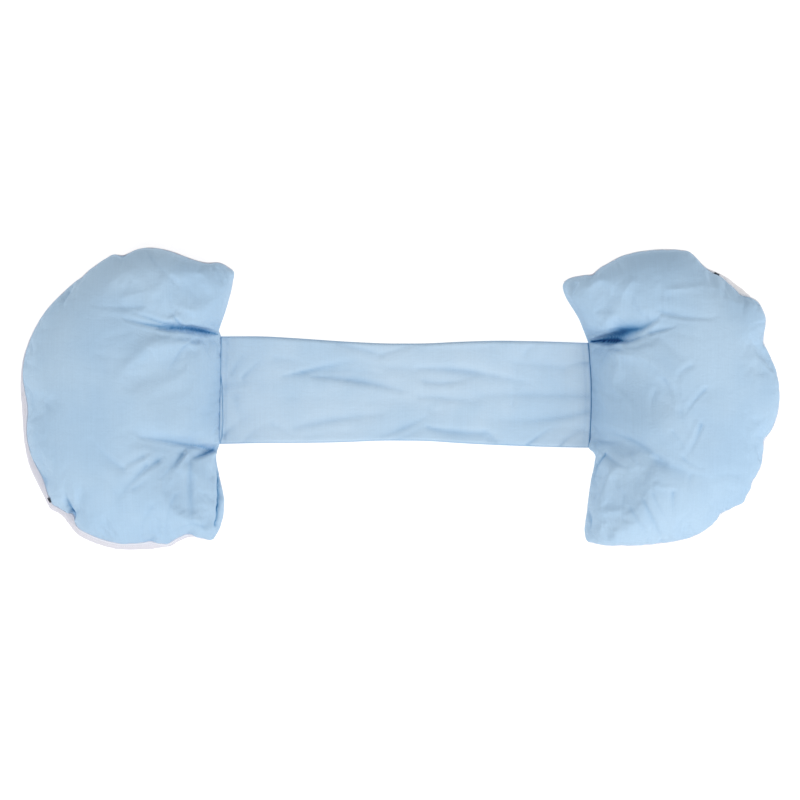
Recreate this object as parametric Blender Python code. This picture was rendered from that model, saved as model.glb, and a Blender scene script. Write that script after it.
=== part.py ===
"""Pregnancy pillow: two filled half-moon cushions joined by a flat band of cloth.

The pillow lies on its back on the ground plane, z = 0, with its length along x. The origin is
below the middle of its bounding box. All sizes are in metres.
"""

import math
from collections import namedtuple

import bmesh
import bpy
import numpy as np
from mathutils import Vector
from mathutils.geometry import interpolate_bezier

# Cloth, seams and clearances
PANEL_THICKNESS = 0.0020
BAND_THICKNESS = 0.0030
SEAM_GAP = 0.0003
BAND_LIFT_AT_SEAM = 0.0052
BAND_LIFT_REACH = 0.055

# The least share of the height over the rim that a fold leaves
FOLD_FLOOR = 0.30

# How finely the surfaces are divided
RIM_SPOKES = 80
SPOKES_NEARER_BAND = 0.45
NECK_SPOKES = 12
STEPS_PER_ROW = 10
FOLD_STEPS = 40
RIM_STEP = 0.002
BAND_STEPS_LONG = 54
BAND_STEPS_ACROSS = 10

# How the top rises from the rim: the power of its curve at a filled side and at the band
RISE_AT_SIDES = 0.50
RISE_AT_BAND = 1.30

# Share of the way from the middle of a cushion to its rim, a ring of points each
TOP_SHARES = (0.15, 0.30, 0.42, 0.52, 0.61, 0.69, 0.76, 0.82, 0.87, 0.91, 0.945, 0.973, 0.992, 1.0)

# A row of the rim: its place seen from above, the height of the seam, the height of the sewn
# edge over it, and how far the underside shows past it. The first and the last row are the
# corners of the seam to the band, and the rows between run anticlockwise.
RimRow = namedtuple("RimRow", "x y seam edge white")

# A fold in the top: a curve from its start past its bend to its end, its depth at both ends
# (negative for a ridge) and the half width of its trough
Fold = namedtuple("Fold", "start bend end depth fade width")

# A row of the side below the seam: how far down to the ground, the share of the white edge,
# how far it is tucked in, how much it is drawn to the middle, and the two directions in which
# the thickness of the cloth is taken there
SideRow = namedtuple("SideRow", "drop out tuck draw inward upward")

SIDE_ROWS = (
    SideRow(0.00, 0.00, 0.000, 0.000, 1.00, 0.00),
    SideRow(0.30, 1.00, 0.000, 0.000, 1.00, 0.35),
    SideRow(0.62, 0.75, 0.005, 0.010, 0.90, 0.50),
    SideRow(0.88, 0.25, 0.009, 0.055, 0.60, 0.80),
    SideRow(1.00, 0.00, 0.010, 0.150, 0.20, 1.00),
)

LEFT = {
    "name": "left",
    "middle": (-0.452, 0.005),
    "crown": 0.128,
    "neck_bow": 0.0005,
    "rim": (
        RimRow(-0.2850, 0.1010, 0.0045, 0.0060, 0.000),
        RimRow(-0.2885, 0.1080, 0.0110, 0.0035, 0.000),
        RimRow(-0.2740, 0.1520, 0.0290, 0.0015, 0.000),
        RimRow(-0.2645, 0.1990, 0.0330, 0.0015, 0.000),
        RimRow(-0.2750, 0.2095, 0.0330, 0.0015, 0.000),
        RimRow(-0.2850, 0.2160, 0.0335, 0.0015, 0.000),
        RimRow(-0.3160, 0.2170, 0.0360, 0.0015, 0.000),
        RimRow(-0.3720, 0.2360, 0.0390, 0.0015, 0.000),
        RimRow(-0.4080, 0.2385, 0.0400, 0.0015, 0.000),
        RimRow(-0.4390, 0.2275, 0.0400, 0.0015, 0.000),
        RimRow(-0.4570, 0.2270, 0.0400, 0.0015, 0.000),
        RimRow(-0.5140, 0.1850, 0.0420, 0.0015, 0.000),
        RimRow(-0.5640, 0.1330, 0.0450, 0.0015, 0.000),
        RimRow(-0.5915, 0.0710, 0.0500, 0.0015, 0.004),
        RimRow(-0.5945, 0.0300, 0.0520, 0.0015, 0.006),
        RimRow(-0.5870, -0.0140, 0.0530, 0.0015, 0.010),
        RimRow(-0.5890, -0.0560, 0.0530, 0.0015, 0.008),
        RimRow(-0.5740, -0.1100, 0.0530, 0.0015, 0.006),
        RimRow(-0.5510, -0.1610, 0.0520, 0.0015, 0.008),
        RimRow(-0.5180, -0.1840, 0.0500, 0.0015, 0.010),
        RimRow(-0.5060, -0.2050, 0.0500, 0.0015, 0.012),
        RimRow(-0.4460, -0.2270, 0.0490, 0.0015, 0.012),
        RimRow(-0.3960, -0.2255, 0.0480, 0.0015, 0.012),
        RimRow(-0.3720, -0.2275, 0.0460, 0.0015, 0.009),
        RimRow(-0.3400, -0.2145, 0.0410, 0.0015, 0.006),
        RimRow(-0.3000, -0.2205, 0.0340, 0.0015, 0.000),
        RimRow(-0.2850, -0.2000, 0.0335, 0.0015, 0.000),
        RimRow(-0.2800, -0.1600, 0.0310, 0.0015, 0.000),
        RimRow(-0.2930, -0.0940, 0.0140, 0.0035, 0.000),
        RimRow(-0.2880, -0.0720, 0.0045, 0.0060, 0.000),
    ),
    "folds": (
        Fold((-0.284, 0.103), (-0.350, 0.106), (-0.432, 0.134), 0.026, 0.10, 0.0190),
        Fold((-0.322, 0.092), (-0.350, 0.072), (-0.366, 0.040), 0.005, 0.30, 0.0140),
        Fold((-0.386, 0.102), (-0.420, 0.084), (-0.456, 0.072), 0.005, 0.30, 0.0140),
        Fold((-0.286, -0.077), (-0.345, -0.071), (-0.402, -0.060), 0.020, 0.15, 0.0170),
        Fold((-0.350, -0.092), (-0.396, -0.128), (-0.443, -0.160), 0.007, 0.30, 0.0140),
        Fold((-0.411, -0.104), (-0.447, -0.104), (-0.480, -0.062), 0.005, 0.30, 0.0140),
        Fold((-0.516, -0.190), (-0.521, -0.166), (-0.526, -0.140), 0.008, 0.20, 0.0140),
    ),
}

RIGHT = {
    "name": "right",
    "middle": (0.458, 0.002),
    "crown": 0.122,
    "neck_bow": 0.0050,
    "rim": (
        RimRow(0.3010, -0.0780, 0.0045, 0.0060, 0.000),
        RimRow(0.3115, -0.0900, 0.0120, 0.0035, 0.000),
        RimRow(0.3040, -0.1300, 0.0260, 0.0015, 0.000),
        RimRow(0.2975, -0.1760, 0.0330, 0.0015, 0.000),
        RimRow(0.2945, -0.2160, 0.0330, 0.0015, 0.000),
        RimRow(0.3060, -0.2270, 0.0340, 0.0015, 0.000),
        RimRow(0.3640, -0.2310, 0.0380, 0.0015, 0.000),
        RimRow(0.4120, -0.2275, 0.0390, 0.0015, 0.000),
        RimRow(0.4590, -0.2185, 0.0400, 0.0015, 0.000),
        RimRow(0.4910, -0.2010, 0.0400, 0.0015, 0.000),
        RimRow(0.5080, -0.1825, 0.0400, 0.0015, 0.000),
        RimRow(0.5480, -0.1560, 0.0410, 0.0015, 0.000),
        RimRow(0.5560, -0.1350, 0.0410, 0.0015, 0.000),
        RimRow(0.5720, -0.1030, 0.0420, 0.0015, 0.000),
        RimRow(0.5770, -0.0660, 0.0420, 0.0015, 0.000),
        RimRow(0.5935, -0.0370, 0.0430, 0.0015, 0.000),
        RimRow(0.6000, 0.0030, 0.0440, 0.0015, 0.000),
        RimRow(0.5945, 0.0460, 0.0440, 0.0015, 0.000),
        RimRow(0.5750, 0.0930, 0.0450, 0.0015, 0.000),
        RimRow(0.5780, 0.1300, 0.0470, 0.0015, 0.001),
        RimRow(0.5600, 0.1570, 0.0500, 0.0015, 0.006),
        RimRow(0.5370, 0.1660, 0.0510, 0.0015, 0.011),
        RimRow(0.5110, 0.1915, 0.0490, 0.0015, 0.009),
        RimRow(0.4910, 0.2010, 0.0480, 0.0015, 0.005),
        RimRow(0.4740, 0.2160, 0.0450, 0.0015, 0.000),
        RimRow(0.4560, 0.2330, 0.0420, 0.0015, 0.000),
        RimRow(0.3960, 0.2350, 0.0400, 0.0015, 0.000),
        RimRow(0.3500, 0.2250, 0.0380, 0.0015, 0.000),
        RimRow(0.3050, 0.1990, 0.0350, 0.0015, 0.000),
        RimRow(0.2660, 0.1890, 0.0330, 0.0015, 0.000),
        RimRow(0.2600, 0.1720, 0.0320, 0.0015, 0.000),
        RimRow(0.2850, 0.1280, 0.0260, 0.0015, 0.000),
        RimRow(0.3000, 0.0910, 0.0045, 0.0060, 0.000),
    ),
    "folds": (
        Fold((0.299, 0.094), (0.360, 0.086), (0.428, 0.126), 0.024, 0.10, 0.0190),
        Fold((0.407, 0.136), (0.452, 0.124), (0.487, 0.128), 0.005, 0.30, 0.0140),
        Fold((0.362, 0.185), (0.350, 0.168), (0.344, 0.148), -0.005, 0.40, 0.0140),
        Fold((0.304, -0.062), (0.372, -0.074), (0.476, -0.122), 0.017, 0.20, 0.0190),
        Fold((0.478, 0.014), (0.452, 0.002), (0.438, -0.020), 0.005, 0.30, 0.0140),
        Fold((0.469, -0.040), (0.462, -0.060), (0.450, -0.080), 0.005, 0.30, 0.0140),
        Fold((0.362, -0.170), (0.380, -0.190), (0.412, -0.222), 0.006, 0.30, 0.0140),
    ),
}

# A row of the band: distance from the middle of the pillow, and its two edges there
BandRow = namedtuple("BandRow", "x top bottom")

BAND_ROWS = (
    BandRow(-0.2850, 0.1005, -0.0715),
    BandRow(-0.2200, 0.1005, -0.0700),
    BandRow(-0.1600, 0.0970, -0.0700),
    BandRow(-0.0950, 0.0920, -0.0690),
    BandRow(-0.0280, 0.0890, -0.0660),
    BandRow(0.0450, 0.0890, -0.0665),
    BandRow(0.0900, 0.0920, -0.0700),
    BandRow(0.1560, 0.0940, -0.0735),
    BandRow(0.2400, 0.0925, -0.0765),
    BandRow(0.3000, 0.0900, -0.0775),
)

# Wrinkles of the band are ridges only, since it lies on the ground
BAND_WRINKLES = (
    Fold((-0.185, 0.039), (-0.120, 0.048), (-0.066, 0.065), 0.0065, 0.20, 0.0075),
    Fold((-0.116, 0.037), (-0.060, 0.022), (0.000, 0.018), 0.0055, 0.30, 0.0080),
    Fold((-0.148, -0.036), (-0.090, -0.034), (-0.028, -0.023), 0.0040, 0.30, 0.0100),
    Fold((-0.265, -0.069), (-0.245, -0.045), (-0.224, -0.014), 0.0050, 0.30, 0.0080),
    Fold((-0.062, 0.084), (-0.020, 0.072), (0.016, 0.080), 0.0055, 0.20, 0.0080),
    Fold((-0.016, -0.054), (0.015, -0.046), (0.040, -0.030), 0.0045, 0.30, 0.0080),
    Fold((0.045, 0.048), (0.110, 0.046), (0.200, 0.031), 0.0045, 0.30, 0.0090),
    Fold((0.052, -0.045), (0.120, -0.046), (0.155, -0.070), 0.0060, 0.20, 0.0080),
    Fold((0.200, -0.074), (0.218, -0.062), (0.240, -0.050), 0.0060, 0.20, 0.0080),
    Fold((0.150, -0.034), (0.220, -0.024), (0.300, -0.023), 0.0040, 0.20, 0.0100),
)

# Zip sliders and stop: where along the rim each sits, as the nearest point seen from above
SLIDER = {"length": 0.0085, "height": 0.0048, "depth": 0.0026, "bevel": 0.0006}
STOP = {"length": 0.0040, "height": 0.0030, "depth": 0.0018, "bevel": 0.0004}
LEFT_SLIDER_AT = (-0.5515, -0.1580)
LEFT_STOP_AT = (-0.2665, 0.2030)
RIGHT_SLIDER_AT = (0.5000, 0.1960)

BLUE_COTTON = ("blue_cotton", (0.445, 0.610, 0.800), 0.85, 0.0)
WHITE_COTTON = ("white_cotton", (0.800, 0.800, 0.870), 0.85, 0.0)
ZIP_METAL = ("zip_metal", (0.110, 0.115, 0.130), 0.40, 0.8)


def clear_scene():
    for old in list(bpy.data.objects):
        bpy.data.objects.remove(old, do_unlink=True)


def make_material(name, color, roughness, metallic):
    material = bpy.data.materials.new(name)
    material.use_nodes = True
    shader = material.node_tree.nodes["Principled BSDF"]
    shader.inputs["Base Color"].default_value = (*color, 1.0)
    shader.inputs["Roughness"].default_value = roughness
    shader.inputs["Metallic"].default_value = metallic
    return material


def add_object(name, vertices, triangles, material):
    mesh = bpy.data.meshes.new(name)
    mesh.from_pydata([tuple(v) for v in vertices], [], [tuple(t) for t in triangles])
    mesh.materials.append(material)
    mesh.shade_smooth()
    part = bpy.data.objects.new(name, mesh)
    bpy.context.scene.collection.objects.link(part)
    return part


def smooth_line(rows):
    """Points of a smooth line through the rows, with every column carried along."""
    places = [Vector((row[0], row[1])) for row in rows]
    samples = []
    for i in range(len(places) - 1):
        here, there = places[i], places[i + 1]
        before = places[max(i - 1, 0)]
        after = places[min(i + 2, len(places) - 1)]
        reach = (there - here).length / 3
        leave = here + (there - before).normalized() * reach
        arrive = there - (after - here).normalized() * reach
        curve = interpolate_bezier(here, leave, arrive, there, STEPS_PER_ROW + 1)
        for step, point in enumerate(curve[:-1]):
            share = step / STEPS_PER_ROW
            eased = share * share * (3 - 2 * share)
            rest = [a + (b - a) * eased for a, b in zip(rows[i][2:], rows[i + 1][2:])]
            samples.append([point.x, point.y, *rest])
    samples.append(list(rows[-1]))
    return np.array(samples)


def resample(samples, count, nearer_ends=0.0):
    """The same line with count points, both ends kept, at even distances or nearer the ends."""
    lengths = np.hypot(*np.diff(samples[:, :2], axis=0).T)
    along = np.concatenate([[0.0], np.cumsum(lengths)])
    share = np.linspace(0.0, 1.0, count)
    share -= nearer_ends * np.sin(2 * math.pi * share) / (2 * math.pi)
    places = share * along[-1]
    return np.stack([np.interp(places, along, column) for column in samples.T], axis=1)


def neck_line(cushion, count):
    """The seam to the band, from the last row of the rim back to the first, ends left out.

    Half way along it is moved by neck_bow, towards +x.
    """
    last, first = cushion["rim"][-1], cushion["rim"][0]
    share = np.linspace(0.0, 1.0, count + 2)[1:-1, None]
    line = np.array(last) + (np.array(first) - np.array(last)) * share
    line[:, 0] += cushion["neck_bow"] * (1 - (2 * share[:, 0] - 1) ** 2)
    return line


def rim_of(cushion):
    """One row of numbers for each spoke, in the columns of RimRow."""
    around = resample(smooth_line(cushion["rim"]), RIM_SPOKES, SPOKES_NEARER_BAND)
    return np.vstack([around, neck_line(cushion, NECK_SPOKES)])


def outward(rim):
    """Unit directions away from the cushion, seen from above, for a rim that runs anticlockwise."""
    along = np.roll(rim[:, :2], -1, axis=0) - np.roll(rim[:, :2], 1, axis=0)
    across = np.stack([along[:, 1], -along[:, 0]], axis=1)
    return across / np.linalg.norm(across, axis=1)[:, None]


def fold_depth(xy, folds):
    """How far the folds push each point down."""
    total = np.zeros(len(xy))
    share = np.linspace(0.0, 1.0, FOLD_STEPS)
    for fold in folds:
        start, bend, end = (np.array(p) for p in (fold.start, fold.bend, fold.end))
        curve = (
            np.outer((1 - share) ** 2, start)
            + np.outer(2 * share * (1 - share), bend)
            + np.outer(share**2, end)
        )
        away = np.linalg.norm(xy[:, None] - curve[None], axis=2)
        nearest = share[away.argmin(axis=1)]
        depth = fold.depth * (1 - (1 - fold.fade) * nearest)
        total += depth * np.exp(-((away.min(axis=1) / fold.width) ** 2))
    return total


def fine_rim(rim):
    """The rim again in short steps: places, lengths, edge heights, and 1 along the band."""
    heights = rim[:, 2] + rim[:, 3]
    at_band = np.zeros(len(rim))
    at_band[0] = 1.0
    at_band[RIM_SPOKES - 1 :] = 1.0
    closed = np.column_stack([rim[:, :2], heights, at_band])
    closed = np.vstack([closed, closed[:1]])
    around = np.hypot(*np.diff(closed[:, :2], axis=0).T).sum()
    fine = resample(closed, round(around / RIM_STEP) + 1)
    middles = (fine[1:] + fine[:-1]) / 2
    return middles, np.hypot(*np.diff(fine[:, :2], axis=0).T)


def pull_of_rim(rim, xy):
    """How the whole rim acts on each point, near stretches far more than distant ones.

    It gives a soft distance to the rim, the height of the rim, and the band's share of the pull.
    """
    fine, lengths = fine_rim(rim)
    apart = np.linalg.norm(xy[:, None] - fine[None, :, :2], axis=2)
    pull = lengths / np.maximum(apart, RIM_STEP / 2) ** 3
    total = pull.sum(axis=1)
    return np.sqrt(2 / total), pull @ fine[:, 2] / total, pull @ fine[:, 3] / total


def top_ring(cushion, rim, share):
    """Points of the top at this share of the way from the middle to the rim."""
    middle = np.array(cushion["middle"])
    xy = middle + (rim[:, :2] - middle) * share
    if share == 1.0:
        return np.column_stack([xy, rim[:, 2] + rim[:, 3]])
    most = pull_of_rim(rim, middle[None])[0][0]
    reach, edge_height, band = pull_of_rim(rim, xy)
    inner = np.minimum(reach / most, 1.0)
    power = RISE_AT_SIDES + (RISE_AT_BAND - RISE_AT_SIDES) * band
    rise = (inner * (2 - inner)) ** power
    over_rim = (cushion["crown"] - edge_height) * rise
    left = np.maximum(over_rim - fold_depth(xy, cushion["folds"]), over_rim * FOLD_FLOOR)
    return np.column_stack([xy, edge_height + left])


def side_ring(cushion, rim, row, inset, drop):
    """Points of the side below the seam, inset from its outer face and lowered by drop."""
    middle = np.array(cushion["middle"])
    away = rim[:, 4] * row.out - row.tuck - inset * row.inward
    xy = rim[:, :2] + outward(rim) * away[:, None]
    xy = middle + (xy - middle) * (1 - row.draw)
    z = rim[:, 2] * (1 - row.drop) + inset * row.upward - drop
    return np.column_stack([xy, z])


def skin(first_pole, rings, last_pole, inner=0):
    """A closed surface from one pole over the rings to the other, as points and triangles.

    The first inner bands of it are split along their other diagonal, as the surface that lies
    against them is, so that the two stay apart.
    """
    count = len(rings[0])
    vertices = np.vstack([[first_pole], *rings, [last_pole]])
    last = len(vertices) - 1
    triangles = []
    for i in range(count):
        j = (i + 1) % count
        triangles.append((0, 1 + i, 1 + j))
        for k in range(len(rings) - 1):
            a, b = 1 + k * count, 1 + (k + 1) * count
            if k < inner:
                triangles.append((a + i, b + i, a + j))
                triangles.append((a + j, b + i, b + j))
            else:
                triangles.append((a + i, b + i, b + j))
                triangles.append((a + i, b + j, a + j))
        end = 1 + (len(rings) - 1) * count
        triangles.append((end + i, last, end + j))
    return vertices, triangles


def make_cushion(cushion, rim, material):
    """The filled cushion: its top, its sewn edge, and its lower side inside the underside."""
    x, y = cushion["middle"]
    inset = PANEL_THICKNESS + SEAM_GAP
    rings = [top_ring(cushion, rim, share) for share in TOP_SHARES]
    rings.append(np.column_stack([rim[:, :2], rim[:, 2]]))
    rings += [side_ring(cushion, rim, row, inset, 0.0) for row in SIDE_ROWS]
    vertices, triangles = skin((x, y, cushion["crown"]), rings, (x, y, inset))
    return add_object(cushion["name"] + "_cushion", vertices, triangles, material)


def make_underside(cushion, rim, material):
    """The panel under the cushion, from the seam down and across the ground."""
    x, y = cushion["middle"]
    drops = [SEAM_GAP] + [0.0] * (len(SIDE_ROWS) - 1)
    rows = list(zip(SIDE_ROWS, drops))
    inner = [side_ring(cushion, rim, row, PANEL_THICKNESS, drop) for row, drop in rows]
    outer = [side_ring(cushion, rim, row, 0.0, drop) for row, drop in rows]
    rings = inner[::-1] + outer
    first, last = (x, y, PANEL_THICKNESS), (x, y, 0.0)
    vertices, triangles = skin(first, rings, last, inner=len(inner) - 1)
    return add_object(cushion["name"] + "_underside", vertices, triangles, material)


def neck_x(cushion, y):
    """Where the seam to the band lies at y."""
    line = np.vstack([cushion["rim"][-1], neck_line(cushion, NECK_SPOKES), cushion["rim"][0]])
    order = line[:, 1].argsort()
    return np.interp(y, line[order, 1], line[order, 0])


def band_edges(share):
    """The two edges of the band at this share of its length."""
    line = resample(smooth_line(BAND_ROWS), BAND_STEPS_LONG + 1)
    places = np.linspace(0.0, 1.0, BAND_STEPS_LONG + 1)
    return np.interp(share, places, line[:, 1]), np.interp(share, places, line[:, 2])


def make_band(material):
    """The flat band, on the ground but for its wrinkles and for its two ends at the seams."""
    points = []
    for i in range(BAND_STEPS_LONG + 1):
        share = i / BAND_STEPS_LONG
        top, bottom = band_edges(share)
        for j in range(BAND_STEPS_ACROSS + 1):
            y = bottom + (top - bottom) * j / BAND_STEPS_ACROSS
            left = neck_x(LEFT, y) + SEAM_GAP
            right = neck_x(RIGHT, y) - SEAM_GAP
            points.append((left + (right - left) * share, y))
    xy = np.array(points)
    ends = np.minimum(xy[:, 0] - neck_x(LEFT, xy[:, 1]), neck_x(RIGHT, xy[:, 1]) - xy[:, 0])
    near = np.clip(1 - ends / BAND_LIFT_REACH, 0.0, 1.0)
    lift = BAND_LIFT_AT_SEAM * near * near * (3 - 2 * near)
    free = 1 - near**2
    low = lift + fold_depth(xy, BAND_WRINKLES) * free
    high = low + BAND_THICKNESS
    vertices = np.vstack([np.column_stack([xy, low]), np.column_stack([xy, high])])
    return add_object("band", vertices, sheet_triangles(len(xy)), material)


def sheet_triangles(layer):
    """Triangles of a closed sheet of two like grids, the lower layer first."""
    wide = BAND_STEPS_ACROSS + 1
    triangles = []

    def add_quad(a, b, c, d):
        triangles.append((a, b, c))
        triangles.append((a, c, d))

    for i in range(BAND_STEPS_LONG):
        for j in range(BAND_STEPS_ACROSS):
            a, b = i * wide + j, (i + 1) * wide + j
            add_quad(a, a + 1, b + 1, b)
            add_quad(layer + a, layer + b, layer + b + 1, layer + a + 1)
        a, b = i * wide, (i + 1) * wide
        add_quad(a, b, layer + b, layer + a)
        a, b = a + wide - 1, b + wide - 1
        add_quad(b, a, layer + a, layer + b)
    end = BAND_STEPS_LONG * wide
    for j in range(BAND_STEPS_ACROSS):
        add_quad(j + 1, j, layer + j, layer + j + 1)
        add_quad(end + j, end + j + 1, layer + end + j + 1, layer + end + j)
    return triangles


def nearest_on_seam(rim, place):
    """The point of the seam nearest place, seen from above, and the direction out of it there."""
    start = rim[:, :3]
    step = np.roll(start, -1, axis=0) - start
    reach = np.array(place) - start[:, :2]
    share = (reach * step[:, :2]).sum(axis=1) / (step[:, :2] ** 2).sum(axis=1)
    points = start + step * np.clip(share, 0.0, 1.0)[:, None]
    nearest = np.linalg.norm(points[:, :2] - np.array(place), axis=1).argmin()
    along = step[nearest, :2] / np.linalg.norm(step[nearest, :2])
    return points[nearest], (along[1], -along[0])


def make_zip_piece(name, rim, place, size, material):
    """A small bevelled piece on the outer side of the seam, at the point of it nearest place."""
    seam, away = nearest_on_seam(rim, place)
    mesh = bpy.data.meshes.new(name)
    shape = bmesh.new()
    bmesh.ops.create_cube(shape, size=1.0)
    bmesh.ops.scale(shape, vec=(size["depth"], size["length"], size["height"]), verts=shape.verts)
    bmesh.ops.bevel(
        shape,
        geom=shape.edges[:],
        offset=size["bevel"],
        segments=1,
        affect="EDGES",
    )
    shape.to_mesh(mesh)
    shape.free()
    mesh.materials.append(material)
    piece = bpy.data.objects.new(name, mesh)
    bpy.context.scene.collection.objects.link(piece)
    out = SEAM_GAP + size["depth"] / 2
    piece.location = (
        seam[0] + away[0] * out,
        seam[1] + away[1] * out,
        seam[2] + size["height"] / 2,
    )
    piece.rotation_euler[2] = math.atan2(away[1], away[0])
    return piece


def main():
    clear_scene()
    blue = make_material(*BLUE_COTTON)
    white = make_material(*WHITE_COTTON)
    metal = make_material(*ZIP_METAL)
    rims = {}
    for cushion in (LEFT, RIGHT):
        rim = rim_of(cushion)
        rims[cushion["name"]] = rim
        make_cushion(cushion, rim, blue)
        make_underside(cushion, rim, white)
    make_band(blue)
    make_zip_piece("left_zip_slider", rims["left"], LEFT_SLIDER_AT, SLIDER, metal)
    make_zip_piece("left_zip_stop", rims["left"], LEFT_STOP_AT, STOP, metal)
    make_zip_piece("right_zip_slider", rims["right"], RIGHT_SLIDER_AT, SLIDER, metal)


main()
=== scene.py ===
import math
import random

import bmesh
import bpy
import numpy as np
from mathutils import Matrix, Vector
from mathutils.bvhtree import BVHTree
from mathutils.kdtree import KDTree


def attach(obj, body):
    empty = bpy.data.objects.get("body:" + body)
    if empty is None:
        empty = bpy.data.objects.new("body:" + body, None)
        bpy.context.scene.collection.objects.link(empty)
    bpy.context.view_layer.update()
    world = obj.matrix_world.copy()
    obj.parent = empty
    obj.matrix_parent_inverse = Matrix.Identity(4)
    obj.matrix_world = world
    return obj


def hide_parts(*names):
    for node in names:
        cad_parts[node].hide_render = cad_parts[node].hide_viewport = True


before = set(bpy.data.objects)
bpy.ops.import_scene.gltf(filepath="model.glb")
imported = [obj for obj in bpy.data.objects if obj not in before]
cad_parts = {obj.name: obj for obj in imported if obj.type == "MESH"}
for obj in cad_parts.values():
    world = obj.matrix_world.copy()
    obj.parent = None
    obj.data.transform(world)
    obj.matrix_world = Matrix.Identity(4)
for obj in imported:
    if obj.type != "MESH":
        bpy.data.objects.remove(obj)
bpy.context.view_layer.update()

scene = bpy.context.scene
mm = 0.001

cloth = {
    "blue": (0.425, 0.600, 0.785),
    "blueFaded": (0.475, 0.642, 0.810),
    "bandLit": (0.552, 0.706, 0.858),  # painted light: the band's blue made paler, standing in for the light that falls on the flat band
    "blueDeep": (0.055, 0.232, 0.470),  # down in the folds, where light only comes off more cloth
    "blueDark": (0.010, 0.055, 0.180),  # painted shade at the bottom of the two main folds
    # painted shade and light: white and whiteLit are one white cloth, greyed for the shaded left panel and
    # bright for the lit right one
    "white": (0.730, 0.720, 0.785),
    "whiteLit": (0.955, 0.945, 0.955),
    "tape": (0.900, 0.900, 0.935),
    "thread": (0.400, 0.560, 0.760),
    "weave": 0.9 * mm,
}


# Materials, from sums of sockets

def addNode(tree, kind, settings, values):
    node = tree.nodes.new(kind)
    for name, setting in (settings or {}).items():
        setattr(node, name, setting)
    for key, value in (values or {}).items():
        if isinstance(value, bpy.types.NodeSocket):
            tree.links.new(value, node.inputs[key])
        else:
            node.inputs[key].default_value = value
    return node


class Value:
    # A socket that can be used in plain sums.
    def __init__(self, nodes, socket):
        self.nodes, self.socket = nodes, socket

    def __add__(self, other):
        return self.nodes.sum("ADD", self, other)

    def __radd__(self, other):
        return self.nodes.sum("ADD", other, self)

    def __sub__(self, other):
        return self.nodes.sum("SUBTRACT", self, other)

    def __rsub__(self, other):
        return self.nodes.sum("SUBTRACT", other, self)

    def __mul__(self, other):
        return self.nodes.sum("MULTIPLY", self, other)

    def __pow__(self, other):
        return self.nodes.sum("POWER", self, other)

    def over(self, low, high):
        # 0 below the low value, 1 above the high one, smooth between.
        return self.nodes.add(
            "ShaderNodeMapRange",
            {"interpolation_type": "SMOOTHSTEP"},
            {"Value": self, "From Min": low, "From Max": high},
        )


class Nodes:
    # The nodes of one material.
    def __init__(self, name):
        self.material = bpy.data.materials.new(name)
        self.material.use_nodes = True
        self.tree = self.material.node_tree
        self.shader = self.tree.nodes["Principled BSDF"]

    def add(self, kind, settings=None, values=None, output=0):
        plain = {key: getattr(value, "socket", value) for key, value in (values or {}).items()}
        return Value(self, addNode(self.tree, kind, settings, plain).outputs[output])

    def feed(self, name, value):
        if isinstance(value, Value):
            self.tree.links.new(value.socket, self.shader.inputs[name])
        else:
            self.shader.inputs[name].default_value = value

    def sum(self, operation, *terms):
        return self.add("ShaderNodeMath", {"operation": operation}, dict(enumerate(terms)))

    def place(self):
        return self.add("ShaderNodeTexCoord", output="Object")

    def axes(self, place):
        parts = self.add("ShaderNodeSeparateXYZ", None, {0: place}).socket.node
        return [Value(self, parts.outputs[i]) for i in range(3)]

    def stretched(self, place, scale):
        return self.add("ShaderNodeVectorMath", {"operation": "MULTIPLY"}, {0: place, 1: scale})

    def noise(self, place, scale, detail=2.0, roughness=0.5, distortion=0.0):
        return self.add(
            "ShaderNodeTexNoise",
            None,
            {"Vector": place, "Scale": scale, "Detail": detail, "Roughness": roughness,
             "Distortion": distortion},
        )

    def attribute(self, name):
        return self.add("ShaderNodeAttribute", {"attribute_name": name}, output="Fac")

    def mix(self, share, first, second):
        return self.add(
            "ShaderNodeMix", {"data_type": "RGBA"}, {0: share, 6: first, 7: second}, output=2
        )

    def tinted(self, colour, share):
        # The colour, made lighter or darker by a share round 1.
        grey = self.add("ShaderNodeCombineXYZ", None, {0: share, 1: share, 2: share})
        return self.stretched(colour, grey)


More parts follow.
